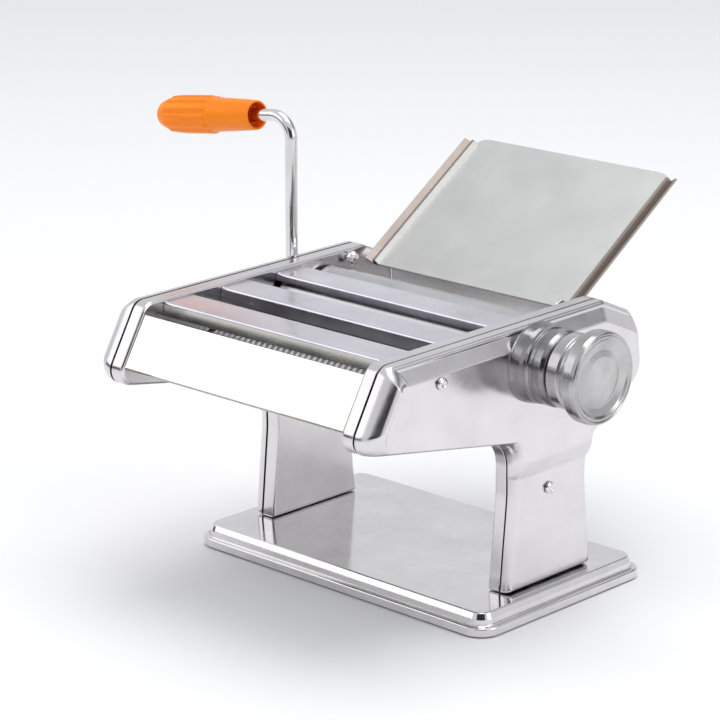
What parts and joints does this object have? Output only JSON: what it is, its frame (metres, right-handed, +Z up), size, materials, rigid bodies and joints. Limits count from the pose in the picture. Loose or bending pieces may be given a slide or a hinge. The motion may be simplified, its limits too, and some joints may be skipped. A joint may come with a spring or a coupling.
{
  "type": "pasta roller machine",
  "caption": "Hand-cranked pasta roller and cutter: pressed-steel body on a stamped base, smooth rollers, cutter rollers, thickness knob, crank and sloping feed tray.",
  "frame": {"origin": "centre of the base's footprint, on the table", "axes": "+X along the rollers towards the thickness knob, -Y to the front where noodles come out, +Z up"},
  "size_m": [0.3447, 0.2645, 0.2304],
  "materials": {
    "chrome": "mirror polish with fine wear",
    "panel": "flat mirror-polished sheet",
    "strip": "bright satin sheet",
    "satin": "satin, fine scratches",
    "roller": "ground and polished",
    "gear": "machined",
    "rubber": "matte",
    "nylon": "matte",
    "grip": "moulded, satin gloss"
  },
  "bodies": {
    "frame": {"base_plate": "chrome", "foot_front_left": "rubber", "foot_front_right": "rubber", "foot_rear_left": "rubber", "foot_rear_right": "rubber", "base_stiffener": "satin", "left_side_frame": "chrome", "right_side_frame": "chrome", "left_outer_cover": "chrome", "right_outer_cover": "chrome", "front_panel": "panel", "rear_panel": "panel", "rear_guide_strip": "strip", "middle_guide_strip": "strip", "front_guide_strip": "strip", "front_tie_rod": "satin", "middle_tie_rod": "satin", "rear_tie_rod": "satin", "driven_roller_scraper": "satin", "rear_cutter_comb": "satin", "middle_cutter_comb": "satin", "front_cutter_comb": "satin", "left_cover_screw_upper": "chrome", "left_cover_screw_lower": "chrome", "right_cover_screw_upper": "chrome", "right_cover_screw_lower": "chrome", "left_tray_screw": "chrome", "right_tray_screw": "chrome", "left_roller_bush": "nylon", "right_roller_bush": "nylon", "dial_boss": "chrome"},
    "driven_roller": {"driven_roller": "roller", "driven_roller_gear": "gear"},
    "crank": {"crank_rod": "chrome", "grip_rivet_washer": "gear"},
    "crank_grip": {"crank_grip": "grip"},
    "dial_shaft": {"eccentric_shaft": "gear", "left_eccentric_bush": "gear", "knob_nut": "gear", "knob_spring": "gear"},
    "knob": {"knob": "chrome", "knob_face": "chrome", "index_pin": "gear"},
    "roller_carriage": {"adjustable_roller_scraper": "satin"},
    "adjustable_roller": {"adjustable_roller": "roller", "adjustable_roller_gear": "gear"},
    "rear_cutter_driver": {"rear_cutter_driver": "roller", "rear_cutter_driver_gear": "gear"},
    "rear_cutter_mate": {"rear_cutter_mate": "roller", "rear_cutter_mate_gear": "gear"},
    "middle_cutter_driver": {"middle_cutter_driver": "roller", "middle_cutter_driver_gear": "gear"},
    "middle_cutter_mate": {"middle_cutter_mate": "roller", "middle_cutter_mate_gear": "gear"},
    "front_cutter_driver": {"front_cutter_driver": "roller", "front_cutter_driver_gear": "gear"},
    "front_cutter_mate": {"front_cutter_mate": "roller", "front_cutter_mate_gear": "gear"},
    "feed_tray": {"feed_tray": "satin"}
  },
  "joints": [
    {"name": "driven_roller_spin", "type": "hinge", "parent": "frame", "child": "driven_roller", "pos_m": [0, 0.0099, 0.134], "axis": [1, 0, 0], "continuous": true},
    {"name": "crank_pull_out", "type": "slide", "parent": "driven_roller", "child": "crank", "axis": [-1, 0, 0], "range_m": [0, 0.035]},
    {"name": "crank_grip_spin", "type": "hinge", "parent": "crank", "child": "crank_grip", "pos_m": [-0.1032, 0.0099, 0.226], "axis": [-0.9914, 0, -0.1305], "continuous": true},
    {"name": "knob_turn", "type": "hinge", "parent": "frame", "child": "dial_shaft", "pos_m": [0, -0.0189, 0.134], "axis": [1, 0, 0], "range_deg": [0, 180]},
    {"name": "knob_pull", "type": "slide", "parent": "dial_shaft", "child": "knob", "axis": [1, 0, 0], "range_m": [0, 0.004], "stiffness_N_per_m": 900, "springref_m": -0.002},
    {"name": "nip_opening", "type": "slide", "parent": "frame", "child": "roller_carriage", "axis": [0, -1, 0], "range_m": [0, 0.0024]},
    {"name": "adjustable_roller_spin", "type": "hinge", "parent": "roller_carriage", "child": "adjustable_roller", "pos_m": [0, -0.0177, 0.134], "axis": [1, 0, 0], "continuous": true},
    {"name": "rear_cutter_spin", "type": "hinge", "parent": "frame", "child": "rear_cutter_driver", "pos_m": [0, -0.03501, 0.11623], "axis": [1, 0, 0], "continuous": true},
    {"name": "rear_cutter_mate_spin", "type": "hinge", "parent": "frame", "child": "rear_cutter_mate", "pos_m": [0, -0.05231, 0.11623], "axis": [1, 0, 0], "continuous": true},
    {"name": "middle_cutter_spin", "type": "hinge", "parent": "frame", "child": "middle_cutter_driver", "pos_m": [0, -0.07001, 0.12113], "axis": [1, 0, 0], "continuous": true},
    {"name": "middle_cutter_mate_spin", "type": "hinge", "parent": "frame", "child": "middle_cutter_mate", "pos_m": [0, -0.08731, 0.12113], "axis": [1, 0, 0], "continuous": true},
    {"name": "front_cutter_spin", "type": "hinge", "parent": "frame", "child": "front_cutter_driver", "pos_m": [0, -0.10501, 0.12603], "axis": [1, 0, 0], "continuous": true},
    {"name": "front_cutter_mate_spin", "type": "hinge", "parent": "frame", "child": "front_cutter_mate", "pos_m": [0, -0.12231, 0.12603], "axis": [1, 0, 0], "continuous": true},
    {"name": "tray_lift_off", "type": "slide", "parent": "frame", "child": "feed_tray", "axis": [0, 0.832, 0.5548], "range_m": [0, 0.03]}
  ],
  "couplings": [
    {"joint": "nip_opening", "follows": "knob_turn", "m_per_rad": 0.00076394},
    {"joint": "adjustable_roller_spin", "follows": "driven_roller_spin", "ratio": -1},
    {"joint": "rear_cutter_mate_spin", "follows": "rear_cutter_spin", "ratio": -1},
    {"joint": "middle_cutter_mate_spin", "follows": "middle_cutter_spin", "ratio": -1},
    {"joint": "front_cutter_mate_spin", "follows": "front_cutter_spin", "ratio": -1}
  ]
}
